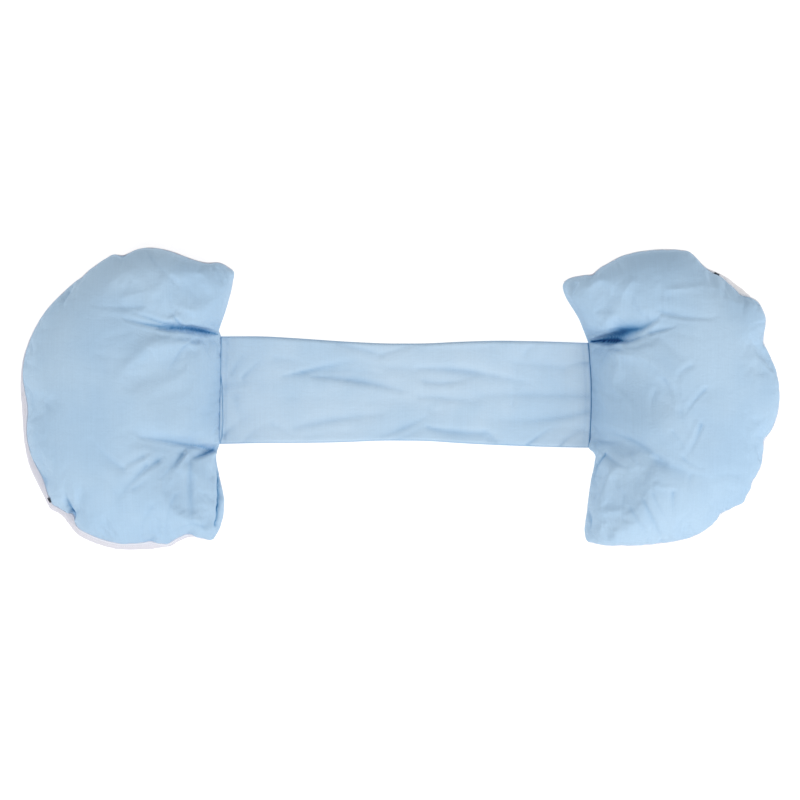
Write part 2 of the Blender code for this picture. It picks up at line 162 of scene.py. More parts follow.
def cottonMaterial(name, colour, faded, deep, creases=1.0):
    nodes = Nodes(name)
    place = nodes.place()
    x, y, z = nodes.axes(place)
    turn = 2 * math.pi / cloth["weave"]
    warp = nodes.sum("SINE", (x + z * 0.31) * turn)
    weft = nodes.sum("SINE", (y + z * 0.83) * turn)
    weave = warp * weft * 0.5 + 0.5
    streaks = nodes.noise(nodes.stretched(place, (520, 16, 16)), 1.0, 3.0, 0.6)
    slubs = nodes.noise(nodes.stretched(place, (22, 640, 300)), 1.0, 2.0, 0.5)
    patches = nodes.noise(place, 7.0, 3.0, 0.55)
    crumples = nodes.noise(place, 34.0, 4.0, 0.55, 0.6)
    wrinkles = nodes.noise(nodes.stretched(place, (1.0, 1.6, 1.0)), 62.0, 3.0, 0.5, 1.2)
    fine = nodes.noise(place, 900.0, 2.0, 0.6)
    shade = 1.0 + (streaks - 0.5) * 0.10 + (slubs - 0.5) * 0.05 + (patches - 0.5) * 0.06
    shade = shade + (weave - 0.5) * 0.05 + (fine - 0.5) * 0.05
    base = nodes.mix(patches.over(0.35, 0.7), (*colour, 1), (*faded, 1))
    # painted shade: where the fold attribute is high the colour goes to the deep blue, and where it is
    # highest to the dark blue
    if deep:
        fold = nodes.attribute("fold")
        base = nodes.mix(fold.over(0.03, 1.12), base, (*deep, 1))
        base = nodes.mix(fold.over(0.6, 1.35), base, (*cloth["blueDark"], 1))
    nodes.feed("Base Color", nodes.tinted(base, shade))
    nodes.feed("Roughness", 0.80 + (streaks - 0.5) * 0.14)
    nodes.feed("Sheen Weight", 0.03)
    nodes.feed("Sheen Roughness", 0.45)
    nodes.feed("Specular IOR Level", 0.10)
    # lines where the noise turns over, as pressed creases in thin cotton
    ridged = 1.0 - nodes.sum("ABSOLUTE", (wrinkles - 0.5) * 2.4)
    relief = weave * 0.035 + fine * 0.03 + streaks * 0.05
    relief = relief + (crumples * 1.5 + ridged ** 3.0 * 0.35) * creases
    bump = nodes.add("ShaderNodeBump", None, {"Strength": 0.55, "Distance": 1.0 * mm, "Height": relief})
    nodes.feed("Normal", bump)
    return nodes.material


def zipMetalMaterial():
    nodes = Nodes("zipMetal")
    place = nodes.place()
    rubbed = nodes.noise(place, 800.0, 3.0, 0.6)
    worn = rubbed.over(0.5, 0.75)
    nodes.feed("Base Color", nodes.mix(worn, (0.045, 0.05, 0.065, 1), (0.16, 0.17, 0.19, 1)))
    nodes.feed("Metallic", 0.7)
    nodes.feed("Roughness", 0.38 + rubbed * 0.2)
    bump = nodes.add("ShaderNodeBump", None, {"Strength": 0.3, "Distance": 0.1 * mm, "Height": rubbed})
    nodes.feed("Normal", bump)
    return nodes.material


def floorMaterial():
    nodes = Nodes("floorPaint")
    nodes.feed("Base Color", (0.48, 0.48, 0.48, 1))
    nodes.feed("Roughness", 0.9)
    nodes.feed("Emission Color", (1, 1, 1, 1))
    nodes.feed("Emission Strength", 0.68)
    return nodes.material


blueCotton = cottonMaterial("blueCotton", cloth["blue"], cloth["blueFaded"], cloth["blueDeep"])
bandCotton = cottonMaterial("bandCotton", cloth["bandLit"], cloth["blueFaded"], cloth["blueDeep"])
# painted shade and light: the left panel's white cotton is a shaded copy, the right panel's a lit copy
whiteCottonShaded = cottonMaterial("whiteCottonShaded", cloth["white"], cloth["white"], None, 0.6)
whiteCottonLit = cottonMaterial("whiteCottonLit", cloth["whiteLit"], cloth["tape"], None, 0.6)
zipTape = cottonMaterial("zipTape", cloth["tape"], cloth["white"], None, 0.2)
blueThread = cottonMaterial("blueThread", cloth["thread"], cloth["blue"], None, 0.1)
zipMetal = zipMetalMaterial()
floorPaint = floorMaterial()
print("materials made")


# Meshes as arrays

def pointsOf(mesh):
    points = np.empty(len(mesh.vertices) * 3)
    mesh.vertices.foreach_get("co", points)
    return points.reshape(-1, 3)


def setPoints(mesh, points):
    mesh.vertices.foreach_set("co", np.ascontiguousarray(points, dtype=np.float32).ravel())
    mesh.update()


def normalsOf(mesh):
    normals = np.empty(len(mesh.vertices) * 3, dtype=np.float32)
    mesh.vertex_normals.foreach_get("vector", normals)
    return normals.reshape(-1, 3).astype(float)


def setAttribute(mesh, name, values):
    layer = mesh.attributes.get(name) or mesh.attributes.new(name, "FLOAT", "POINT")
    layer.data.foreach_set("value", np.ascontiguousarray(values, dtype=np.float32))


def settled(piece):
    # The piece with its modifiers applied.
    graph = bpy.context.evaluated_depsgraph_get()
    mesh = bpy.data.meshes.new_from_object(piece.evaluated_get(graph))
    piece.modifiers.clear()
    old = piece.data
    piece.data = mesh
    bpy.data.meshes.remove(old)
    return piece


def finer(piece, levels):
    rounded = piece.modifiers.new("round", "SUBSURF")
    rounded.levels = rounded.render_levels = levels
    return settled(piece)


def newPiece(name, mesh, material):
    piece = bpy.data.objects.new(name, mesh)
    mesh.materials.clear()
    mesh.materials.append(material)
    scene.collection.objects.link(piece)
    mesh.shade_smooth()
    return piece


def mergedCopy(node):
    # A node's mesh with its loose triangles merged.
    shape = bmesh.new()
    shape.from_mesh(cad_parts[node].data)
    bmesh.ops.remove_doubles(shape, verts=shape.verts, dist=0.02 * mm)
    return shape


def treeOf(points):
    tree = KDTree(len(points))
    for i, place in enumerate(points):
        tree.insert(place, i)
    tree.balance()
    return tree


# Folds, pressed in along curves

def bezier(start, bend, end, share):
    # The line of a fold in metres, from its three places in millimetres.
    start, bend, end = (np.array(p) / 1000 for p in (start, bend, end))
    s = share[:, None]
    return start * (1 - s) ** 2 + 2 * bend * s * (1 - s) + end * s**2


def along(values, share):
    # The values, spread evenly from the start of a fold to its end.
    values = np.atleast_1d(values)
    return np.interp(share, np.linspace(0, 1, len(values)), values)


foldShape = {
    "shoulder": 0.20,  # how high the cloth stands beside a fold, as a share of its depth
    "darkDepth": 16 * mm,  # a fold of this depth gets full painted shade at its bottom
    "darkSteepness": 0.28,
    "darkest": 1.5,
    "lipWidth": 0.14,
}


def pressFolds(xy, folds, shoulder=foldShape["shoulder"]):
    # How far the folds press each point in, how far a lip moves over them, and how deep in a fold it lies,
    # as the strength of its painted shade.
    # A fold, in millimetres: start, bend, end, depths and half widths along it, and some with a lean and a
    # lip. With a lean of 0.5 the left side, seen from the start, is the steep one, and the lip lies there.
    push, slide, inside = np.zeros(len(xy)), np.zeros((len(xy), 2)), np.zeros(len(xy))
    share = np.linspace(0, 1, 48)
    for start, bend, end, depths, widths, *more in folds:
        lean, lip = (*more, 0, 0)[:2]
        line = bezier(start, bend, end, share)
        widest = np.max(widths) * mm
        low, high = line.min(0) - 6 * widest, line.max(0) + 6 * widest
        near = np.flatnonzero(((xy > low) & (xy < high)).all(axis=1))
        if not len(near):
            continue
        apart = xy[near, None] - line[None]
        gap = np.linalg.norm(apart, axis=2)
        best = gap.argmin(axis=1)
        every = np.arange(len(near))
        heading = np.gradient(line, axis=0)
        heading /= np.linalg.norm(heading, axis=1)[:, None]
        leftward = np.stack([-heading[:, 1], heading[:, 0]], axis=1)[best]
        offset = (apart[every, best] * leftward).sum(1)
        width = along(widths, share[best]) * mm
        away = gap[every, best] / (width * np.where(offset > 0, 1 - lean, 1 + lean))
        depth = along(depths, share[best]) * mm
        push[near] += depth * (np.exp(-(away**1.25)) - shoulder * np.exp(-((away - 2.2) ** 2)))
        # painted shade strength: deeper and steeper folds get more
        dark = depth / foldShape["darkDepth"] + foldShape["darkSteepness"] * depth / width
        dark = np.clip(dark, 0, foldShape["darkest"])
        inside[near] = np.maximum(inside[near], np.exp(-(away**1.3)) * dark)
        if lip:
            here = np.exp(-(((offset / width) - 0.5) ** 2) / foldShape["lipWidth"])
            here = here * np.sin(math.pi * share[best]) ** 0.7
            slide[near] -= leftward * (here * lip * mm)[:, None]
    return push, slide, inside


def eased(mesh, points, share, rounds):
    # The points, drawn to the middle of their neighbours by the share given for each.
    ends = np.empty(len(mesh.edges) * 2, dtype=np.int32)
    mesh.edges.foreach_get("vertices", ends)
    a, b = ends.reshape(-1, 2).T
    count = np.bincount(ends, minlength=len(points))[:, None]
    for number in range(rounds):
        total = np.zeros_like(points)
        for column in range(3):
            total[:, column] += np.bincount(a, points[b, column], len(points))
            total[:, column] += np.bincount(b, points[a, column], len(points))
        points = points + (total / count - points) * share[:, None]
    return points


def seamPuckers(seam, out, seed, count, deepest):
    # Short creases that run in from the sewn edge, at uneven steps.
    dice = random.Random(seed)
    rows = []
    for number in range(count):
        i = int((number + dice.uniform(0.1, 0.9)) / count * len(seam)) % len(seam)
        if seam[i, 2] < 0.030:
            continue
        length = dice.uniform(14, 42) * mm
        turn = dice.uniform(-0.7, 0.7)
        inward = -np.array([
            out[i, 0] * math.cos(turn) - out[i, 1] * math.sin(turn),
            out[i, 0] * math.sin(turn) + out[i, 1] * math.cos(turn),
        ])
        start = seam[i, :2]
        bend = start - out[i] * length * 0.5
        depth = dice.uniform(0.25, 1.0) * deepest
        wide = dice.uniform(2.5, 5.5)
        lean = dice.uniform(-0.4, 0.4)
        end = start + inward * length
        rows.append((start / mm, bend / mm, end / mm, (depth, depth * 0.3), wide, lean))
    return rows


# The sewn edge and the filled form

def seamOf(node):
    # The seam is the node's sharp lower edge, under the sewn edge of the top. The blue faces lie above it.
    shape = mergedCopy(node)
    links = {}
    for edge in shape.edges:
        if len(edge.link_faces) != 2 or not edge.is_convex:
            continue
        low, high = sorted(face.normal.z for face in edge.link_faces)
        if low < -0.6 and abs(high) < 0.5:
            edge.seam = True
            a, b = (tuple(v.co) for v in edge.verts)
            links.setdefault(a, []).append(b)
            links.setdefault(b, []).append(a)
    longest, seen = [], set()
    for first in links:
        if first in seen:
            continue
        loop, here = [], first
        while here is not None:
            loop.append(here)
            seen.add(here)
            here = next((p for p in links[here] if p not in seen), None)
        longest = max(longest, loop, key=len)
    top = max(shape.faces, key=lambda face: face.calc_center_median().z)
    above, todo = {top}, [top]
    while todo:
        for edge in todo.pop().edges:
            if edge.seam:
                continue
            for face in edge.link_faces:
                if face not in above:
                    above.add(face)
                    todo.append(face)
    bmesh.ops.delete(shape, geom=[f for f in shape.faces if f not in above], context="FACES")
    blue = BVHTree.FromBMesh(shape)
    shape.free()
    return np.array(longest), blue


def closedCurve(points, step):
    # A smooth closed line through the points, at even steps, anticlockwise from above.
    before, after = np.roll(points, 1, axis=0), np.roll(points, -1, axis=0)
    afterNext = np.roll(points, -2, axis=0)
    share = np.linspace(0, 1, 12, endpoint=False)[:, None, None]
    fine = 0.5 * (
        2 * points
        + (after - before) * share
        + (2 * before - 5 * points + 4 * after - afterNext) * share**2
        + (3 * points - before - 3 * after + afterNext) * share**3
    )
    fine = fine.transpose(1, 0, 2).reshape(-1, 3)
    fine = np.vstack([fine, fine[:1]])
    gone = np.concatenate([[0], np.cumsum(np.linalg.norm(np.diff(fine, axis=0), axis=1))])
    places = np.linspace(0, gone[-1], round(gone[-1] / step), endpoint=False)
    line = np.stack([np.interp(places, gone, column) for column in fine.T], axis=1)
    nextOne = np.roll(line, -1, axis=0)
    area = (line[:, 0] * nextOne[:, 1] - nextOne[:, 0] * line[:, 1]).sum()
    return line if area > 0 else line[::-1].copy()


def outwardOf(seam):
    heading = np.roll(seam, -2, axis=0)[:, :2] - np.roll(seam, 2, axis=0)[:, :2]
    out = np.stack([heading[:, 1], -heading[:, 0]], axis=1)
    return out / np.linalg.norm(out, axis=1)[:, None]


def softBase(side, facts):
    # One closed skin round the filling and the panel under it, evenly meshed.
    whole = bmesh.new()
    for node in (side + "_cushion", side + "_underside"):
        shape = mergedCopy(node)
        bmesh.ops.join_triangles(
            shape, faces=shape.faces, angle_face_threshold=3.1, angle_shape_threshold=3.1
        )
        mesh = bpy.data.meshes.new(node + "Form")
        shape.to_mesh(mesh)
        shape.free()
        part = finer(newPiece(node + "Form", mesh, blueCotton), 2)
        whole.from_mesh(part.data)
        bpy.data.objects.remove(part)
    mesh = bpy.data.meshes.new(side + "Form")
    whole.to_mesh(mesh)
    whole.free()
    form = newPiece(side + "Form", mesh, blueCotton)
    remesh = form.modifiers.new("even", "REMESH")
    remesh.mode = "VOXEL"
    remesh.voxel_size = facts["voxel"]
    settled(form)
    smooth = form.modifiers.new("smooth", "SMOOTH")
    smooth.factor = 0.5
    smooth.iterations = 3
    return settled(form)


def sideOf(points, blue, white):
    # Over 0 on the blue panel, under 0 on the white one, 0 along their seam.
    return np.array([white.find_nearest(p)[3] - blue.find_nearest(p)[3] for p in points])


filling = {
    "pressure": 4.0,
    "spareCloth": 0.035,
    "stiffness": 0.4,
    "frames": 18,
    "mostMove": 12 * mm,
}


def puffUp(form, held):
    # Air pressure and a little spare cloth, held at the seam, below it and along the sewn folds.
    before = pointsOf(form.data)
    group = form.vertex_groups.new(name="held")
    for weight in (0.6, 1.0):
        group.add(np.flatnonzero(held == weight).tolist(), weight, "REPLACE")
    air = form.modifiers.new("air", "CLOTH")
    use = air.settings
    use.quality = 5
    use.mass = 0.3
    use.tension_stiffness = 15
    use.compression_stiffness = 15
    use.shear_stiffness = 5
    use.bending_stiffness = filling["stiffness"]
    use.use_pressure = True
    use.uniform_pressure_force = filling["pressure"]
    use.shrink_min = -filling["spareCloth"]
    use.effector_weights.gravity = 0
    use.vertex_group_mass = group.name
    air.collision_settings.use_collision = False
    air.point_cache.frame_start = 1
    air.point_cache.frame_end = filling["frames"] + 1
    for number in range(1, filling["frames"] + 1):
        scene.frame_set(number)
    settled(form)
    scene.frame_set(1)
    form.vertex_groups.clear()
    move = pointsOf(form.data) - before
    far = np.linalg.norm(move, axis=1)
    most = filling["mostMove"]
    print("  air moved it", round(far.max() / mm, 1), "mm at most,", round(far.mean() / mm, 1), "on average")
    keep = np.where(far > 1e-9, most * np.tanh(far / most) / np.maximum(far, 1e-9), 1.0)
    setPoints(form.data, before + move * keep[:, None])


def cutAtSeam(form, side):
    # Adds a line of edges along the seam: the mesh is cut where its side value is 0.
    shape = bmesh.new()
    shape.from_mesh(form.data)
    trueZ = shape.verts.layers.float.new("trueZ")
    for vert, value in zip(shape.verts, side):
        vert[trueZ] = vert.co.z
        vert.co.z = value
    every = shape.verts[:] + shape.edges[:] + shape.faces[:]
    bmesh.ops.bisect_plane(shape, geom=every, dist=0.35 * mm, plane_co=(0, 0, 0), plane_no=(0, 0, 1))
    for face in shape.faces:
        face.material_index = 0 if face.calc_center_median().z > 0 else 1
    side = np.array([vert.co.z for vert in shape.verts])
    for vert in shape.verts:
        vert.co.z = vert[trueZ]
    shape.verts.layers.float.remove(shape.verts.layers.float["trueZ"])
    shape.to_mesh(form.data)
    shape.free()
    sides = [0] * len(side)
    for face in form.data.polygons:
        for corner in face.vertices:
            sides[corner] |= 1 << face.material_index
    onSeam = np.array(sides) == 3
    side[onSeam] = 0
    return side, onSeam


def nearestOn(seam, tree, points):
    # The nearest place on the seam line, with its number.
    found = np.array([tree.find(p)[1] for p in points])
    best, bestGap = seam[found].copy(), np.full(len(points), np.inf)
    for step in (-1, 0):
        a, b = seam[(found + step) % len(seam)], seam[(found + step + 1) % len(seam)]
        t = np.clip(((points - a) * (b - a)).sum(1) / ((b - a) ** 2).sum(1), 0, 1)[:, None]
        place = a + (b - a) * t
        gap = np.linalg.norm(points - place, axis=1)
        closer = gap < bestGap
        best[closer], bestGap[closer] = place[closer], gap[closer]
    return best, found


# The cushions, with places in millimetres. Folds are rows for pressFolds. A notch is where the edge is
# drawn in: x, y, by how much (negative for a corner that stands out), and how wide.
leftCushion = {
    "voxel": 4.25 * mm,
    "seed": 11,
    "zip": ((-0.268, 0.203), (-0.300, -0.221)),  # from and to, anticlockwise
    "whiteShows": [  # x, y, how far out, reach
        (-604, 30, 3, 70),
        (-570, -115, 7, 42),
        (-556, -173, 4, 14),
        (-520, -205, 2, 25),
    ],
    "darkTowards": (-0.370, -0.290, 0.17),  # from x, to x, how deep in shade beside the band
    "puckers": 46,
    "puckerDepth": 1.5,
    "sewnFolds": [
        ((-286, 103), (-350, 106), (-400, 112), (4, 9, 2), 9),
        ((-287, -77), (-330, -73), (-360, -67), (5, 1), 9),
    ],
    "folds": [
        ((-290, 103.5), (-318, 106.5), (-345, 108.5), (5, 8.5, 8, 4), (1.8, 4, 4, 3), 0.2, 1),
        ((-296, 105), (-330, 108), (-375, 109), (3, 6, 8, 8, 4), (2, 3.5, 5, 5, 3), 0.5, 1),
        ((-352, 111), (-388, 112), (-427.5, 124.5), (7, 5, 1.5), (5, 3.5, 2.8), 0.3, 1),
        ((-360, 116), (-385, 122.5), (-416, 135.5), (4, 3, 0.8), (3, 2.6), 0.2),
        ((-340, 113), (-350, 122), (-357, 137), (4, 3, 0.5), (2.6, 2.2)),
        ((-407, 143), (-440, 142), (-471, 145), (2.4, 0.8), 6, 0.4),
        ((-430, 158), (-400, 172), (-366, 166), (-1.6, -0.5), 6),
        ((-470, 70), (-440, 62), (-410, 66), (0.8, 0.3), 5),
        ((-316, 100), (-350, 75), (-363, 42), (1, 2.2, 1.8, 0.5), (3, 3.5), -0.4),
        ((-290, -80), (-342, -71), (-403, -59), (5, 5, 4, 2), (3, 4.5, 4), 0.4, 1.5),
        ((-293, -79), (-312, -85), (-332, -98), (7, 6, 1), (3.6, 5, 4), 0.3, 1),
        ((-292.8, -92.9), (-279.5, -147.5), (-290.2, -199), (2, 5, 6, 5), 2.3),
        ((-375, -96), (-387, -104), (-400, -114), (4.5, 1.2), 4.5, 0.3),
        ((-340, -86), (-352, -104), (-369, -121), (5, 1.2), 4.5, 0.4),
        ((-335, -88), (-345, -106), (-358, -126), (-2.2, -0.6), 4),
        ((-398, -89), (-414, -96), (-431, -106), (3, 1), 4.5, 0.3),
        ((-392, -104), (-418, -128), (-441, -159), (3.4, 1.2), (4, 7), 0.3),
        ((-414, -140), (-404, -134), (-396, -127), (2.6, 1), 4),
        ((-430, -107), (-458, -90), (-478, -63), (2.6, 0.8), 5, -0.3),
        ((-442, -146), (-452, -124), (-478, -110), (1.6, 0.5), 6),
        ((-326, -100), (-328, -150), (-323, -197), (3, 3.4, 1.8), (5, 7), 0.3),
        ((-334, -108), (-338, -150), (-332, -194), (-1.8, -1.0), 5),
        ((-350, -150), (-362, -172), (-366, -200), (2.2, 1.4), 5, -0.3),
        ((-385, -168), (-400, -186), (-404, -208), (1.8, 1.2), 5, 0.3),
        ((-308, -200), (-330, -192), (-352, -206), (2.4, 1), 4),
        ((-515.5, -184), (-521, -168), (-525, -143), (7, 5, 0.8), (2.4, 5), 0.3, 1),
        ((-500, -176), (-506, -150), (-512, -120), (-2.4, -0.6), 6),
        ((-521, 169), (-524, 158), (-529, 149), (2.8, 0.8), 3),
        ((-300, 150), (-330, 165), (-352, 190), (1.2, 0.8), 9),
        ((-392, 226), (-372, 200), (-345, 180), (2.2, 0.5), 5, 0.3),
        ((-545, -130), (-535, -90), (-540, -50), (1.8, 0.8), 7),
    ],
    "notches": [
        (-440, 229, 2.2, 7),
        (-456, 228, -1.5, 7),
        (-507, 197, 1.5, 8),
        (-395, -226, 2.5, 6),
        (-366, -228, -2, 8),
        (-334, -214, 2, 9),
        (-517, -184, 4, 6),
        (-549, -169, -2, 7),
        (-562, -128, 5, 26),
        (-301, 218, 1, 9),
        (-265, 202, -2.5, 6),
        (-298, -221, -3, 6),
    ],
}

rightCushion = {
    "voxel": 4.2 * mm,
    "seed": 29,
    "zip": ((0.300, -0.224), (0.262, 0.184)),
    "whiteShows": [(535, 180, -0.8, 45)],
    "darkTowards": (0.440, 0.330, 0.28),
    "puckers": 52,
    "puckerDepth": 1.7,
    "sewnFolds": [
        ((301, 92), (355, 88), (405, 112), (5, 9, 2), 10),
        ((304, -62), (345, -64), (380, -78), (2, 0.5), 12),
    ],
    "folds": [
        ((301, 92), (328, 89.5), (360, 92.5), (8, 16, 15, 8, 2), (1.6, 3.2, 4, 3), -0.3, 1.5),
        ((304, 93), (359, 93.5), (404, 127), (2, 9, 13, 11, 6, 2), (3, 7, 12, 12, 8, 4), -0.5, 1),
        ((356, 91.5), (372, 94.5), (390, 104), (4, 3.5, 1), (3.4, 3), 0.2),
        ((390, 103), (410, 107.5), (428, 113.5), (3.5, 3, 0.8), (3.5, 3), -0.4),
        ((322, 88), (340, 83), (361, 71), (3, 0.8), 5, -0.3),
        ((409, 135), (452, 124), (488, 127), (3, 1), 5, -0.4),
        ((361, 182), (350, 170), (345, 150), (-2.6, -0.8), 6),
        ((418, 170), (446, 172), (470, 177), (-2.2, -0.8), 4.5),
        ((418, 168), (416, 150), (420, 136), (1.4, 0.6), 5),
        ((310, -52), (360, -52), (410, -98), (1.5, 4, 3), (7, 6), 0.2),
        ((400, -94), (440, -115), (480, -120), (4, 1), 9, 0.4),
        ((321.5, -84.5), (311, -102), (306.5, -130), (4, 3, 1.2), (2.2, 2.4), -0.3),
        ((324, -86), (336, -98), (352, -106), (4, 2), (7, 6), 0.2),
        ((361, -92), (372, -110), (377, -132), (-3.2, -0.8), 5.5),
        ((475, 14), (455, -2), (445, -22), (2.4, 0.8), 3, 0.4),
        ((469, -40), (464, -58), (451, -82), (3.2, 0.8), 3.5, 0.3),
        ((462, -38), (455, -58), (441, -78), (-1.8, -0.5), 3.5),
        ((436, -18), (440, -36), (452, -52), (2, 0.8), 4.5),
        ((452, 52), (436, 46), (430, 30), (2, 0.6), 4),
        ((410, 30), (420, 16), (424, -4), (1.6, 0.6), 4, 0.3),
        ((425, -146), (424, -160), (426, -176), (3.4, 0.8), 4),
        ((400, -134), (410, -140), (418, -136), (-2.4, -0.8), 3.5),
        ((361, -172), (370, -190), (384, -207), (2.8, 1), 4, 0.3),
        ((380, -159), (394, -188), (413, -222), (3.2, 1.5), 4.5, 0.3),
        ((350, -150), (345, -180), (350, -215), (1.8, 1), 5),
        ((336, -128), (350, -160), (372, -180), (1.8, 0.6), 5, 0.3),
        ((306, -183), (318, -190), (330, -205), (1.2, 0.5), 5),
        ((298.5, -178), (300.5, -191), (299.5, -205), (2, 4, 2), 3),
        ((395, -148), (402, -170), (418, -190), (2.2, 0.8), 3.5, 0.3),
        ((440, -92), (452, -104), (470, -108), (2.2, 0.8), 3.5, -0.3),
        ((452, -118), (448, -134), (455, -152), (2, 0.6), 3.5),
        ((398, 12), (388, -10), (392, -34), (1.6, 0.6), 4),
        ((446, -4), (436, 10), (438, 26), (-1.6, -0.6), 3.5),
        ((424, -50), (438, -66), (446, -88), (1.8, 0.8), 3.5, 0.3),
        ((520, 190), (508, 172), (503, 150), (1.6, 0.5), 4),
        ((546, 163), (538, 146), (536, 126), (1.8, 0.5), 4.5, 0.3),
        ((530, -120), (500, -112), (478, -128), (1.8, 0.6), 7),
        ((491, 128), (492, 60), (490, -4), (0.8, 0.5), 3),
    ],
    "notches": [
        (577, 91, 1.5, 8),
        (580, -67, 1.5, 9),
        (509, -182, 1.5, 7),
        (540, -162, -2, 8),
        (305, 198, 2.6, 6),
        (318, 212, -1.5, 8),
        (560, -132, 1, 8),
        (262, 182, -1.5, 8),
        (456, 233, -1.5, 7),
        (297, -226, -2.5, 7),
        (330, -231, -1.2, 10),
        (566, 153, -1.5, 8),
    ],
}


edges = {
    "step": 1.5 * mm,
    "grooveDepth": 1.3 * mm,
    "grooveWidth": 1.9 * mm,
    "grooveShade": 0.35,
    "pulled": 5 * mm,  # how far from the seam the cloth goes with it
    "leanHeight": 45 * mm,  # over the seam the cloth leans in up to here
    "lean": 0.16,
    "bulge": 0.45,  # of the white panel, on top of what it has
}


def aboutPlace(points, x, y, reach):
    # 1 at the place, given in millimetres, and less and less away from it.
    gap = np.hypot(points[:, 0] - x * mm, points[:, 1] - y * mm)
    return np.exp(-((gap / (reach * mm)) ** 2))


def makeCushion(name, facts):
    loop, blue = seamOf(name + "_cushion")
    shape = mergedCopy(name + "_underside")
    white = BVHTree.FromBMesh(shape)
    shape.free()
    seam = closedCurve(loop, edges["step"])
    out = outwardOf(seam)
    raised = np.clip((seam[:, 2] - 8 * mm) / (15 * mm), 0, 1)
    seam[:, :2] += out * (edges["grooveDepth"] * raised)[:, None]
    tree = treeOf(seam)

    form = softBase(name, facts)
    points = pointsOf(form.data)
    side = sideOf(points, blue, white)
    push, slide, inside = pressFolds(points[:, :2], facts["sewnFolds"])
    setPoints(form.data, points - normalsOf(form.data) * (push * np.clip(side / (8 * mm), 0, 1))[:, None])
    away = np.array([tree.find(p)[2] for p in points])
    held = np.where((side < 0.5 * mm) | (away < 4 * mm), 1.0, 0.0)
    held = np.where((held == 0) & (inside > 0.35), 0.6, held)
    print(name, "form has", len(points), "points")

    still = form.copy()
    still.data = form.data.copy()
    scene.collection.objects.link(still)
    side = sideOf(pointsOf(finer(still, 1).data), blue, white)
    bpy.data.objects.remove(still)
    puffUp(form, held)
    finer(form, 1)
    side, onSeam = cutAtSeam(form, side)
    points = pointsOf(form.data)
    print(name, "is cut along its seam at", onSeam.sum(), "points of", len(points))

    # the cut edge goes onto the sewn line, and what lies near goes with it
    edge = points[onSeam]
    onLine, number = nearestOn(seam, tree, edge)
    edgeTree = treeOf(edge)
    nearest = [edgeTree.find(p) for p in points]
    away = np.array([n[2] for n in nearest])
    numbers = np.array([n[1] for n in nearest])
    shift = (onLine - edge)[numbers]
    points = points + shift * np.exp(-((away / edges["pulled"]) ** 2))[:, None]
    beside = out[number][numbers]

    # over the seam the cloth leans in, so that it never hides its own edge
    line = onLine[numbers]
    bulge = ((points - line)[:, :2] * beside).sum(1)
    rise = np.clip(points[:, 2] - line[:, 2], 0, 1)
    most = -edges["lean"] * rise
    lean = np.where((side > 0) & (rise < edges["leanHeight"]), np.maximum(bulge - most, 0), 0)
    fade = np.clip((edges["leanHeight"] - rise) / (15 * mm), 0, 1)
    points[:, :2] -= beside * (lean * fade)[:, None]

    # the white panel stands out a little more where it shows past the edge
    over = np.where(side < 0, np.clip(bulge, 0, 12 * mm), 0)
    outwards = edges["bulge"] * over + 1.2 * mm * np.clip(over / (2 * mm), 0, 1)
    points[:, :2] += beside * outwards[:, None]
    drop = np.clip((line[:, 2] - points[:, 2]) / (4 * mm), 0, 1)
    drop *= np.clip((points[:, 2] - 6 * mm) / (14 * mm), 0, 1)
    for x, y, wide, reach in facts["whiteShows"]:
        bring = np.where(side < 0, wide * mm * aboutPlace(points, x, y, reach) * drop, 0)
        points[:, :2] += beside * bring[:, None]

    # the drawn-in places of the edge
    for x, y, deep, wide in facts["notches"]:
        draw = deep * mm * aboutPlace(points, x, y, wide)
        points[:, :2] -= beside * draw[:, None]
    setPoints(form.data, points)

    folds = facts["folds"] + seamPuckers(seam, out, facts["seed"], facts["puckers"], facts["puckerDepth"])
    folds += [((x, y), (x * 0.985, y * 0.97), (x * 0.965, y * 0.93), (deep, 0.3 * deep), 0.7 * wide)
              for x, y, deep, wide in facts["notches"] if deep > 0]
    push, slide, inside = pressFolds(points[:, :2], folds)
    onTop = np.clip(side / (3 * mm), 0, 1)
    points -= normalsOf(form.data) * (push * onTop)[:, None]
    points[:, :2] += slide * onTop[:, None]
    share = 0.6 * np.clip((inside - 0.15) / 0.3, 0, 1) * np.clip(away / (8 * mm), 0, 1)
    points = eased(form.data, points, share, 8)
    groove = edges["grooveDepth"] * np.exp(-((away / edges["grooveWidth"]) ** 2))
    groove *= 0.35 + 0.65 * (line[:, 2] > 20 * mm)
    points -= normalsOf(form.data) * groove[:, None]
    points[:, 2] = np.maximum(points[:, 2], 0)
    setPoints(form.data, points)
    # painted shade in the fold attribute: beside the band, in the folds and in the seam groove
    begin, end, dark = facts["darkTowards"]
    beside = np.clip((points[:, 0] - begin) / (end - begin), 0, 1)
    level = 0.35 + 0.65 * np.exp(-(((points[:, 1] - 0.010) / 0.100) ** 2))
    inside = np.maximum(inside, dark * level * beside**2 * (3 - 2 * beside))
    seamGrooveShade = edges["grooveShade"] * np.exp(-((away / (1.6 * mm)) ** 2))
    setAttribute(form.data, "fold", inside * onTop + seamGrooveShade)
    return form, side, away, points[onSeam][np.argsort(number)]


def lowerPanel(name, form, material):
    # The white panel: the part of the skin below the seam, as a thin sheet.
    shape = bmesh.new()
    shape.from_mesh(form.data)
    bmesh.ops.delete(shape, geom=[f for f in shape.faces if f.material_index == 0], context="FACES")
    mesh = bpy.data.meshes.new(name + "Underside")
    shape.to_mesh(mesh)
    shape.free()
    panel = newPiece(name + "Underside", mesh, material)
    for face in mesh.polygons:
        face.material_index = 0
    wall = panel.modifiers.new("wall", "SOLIDIFY")
    wall.thickness = 1.1 * mm
    wall.offset = -1
    return settled(panel)


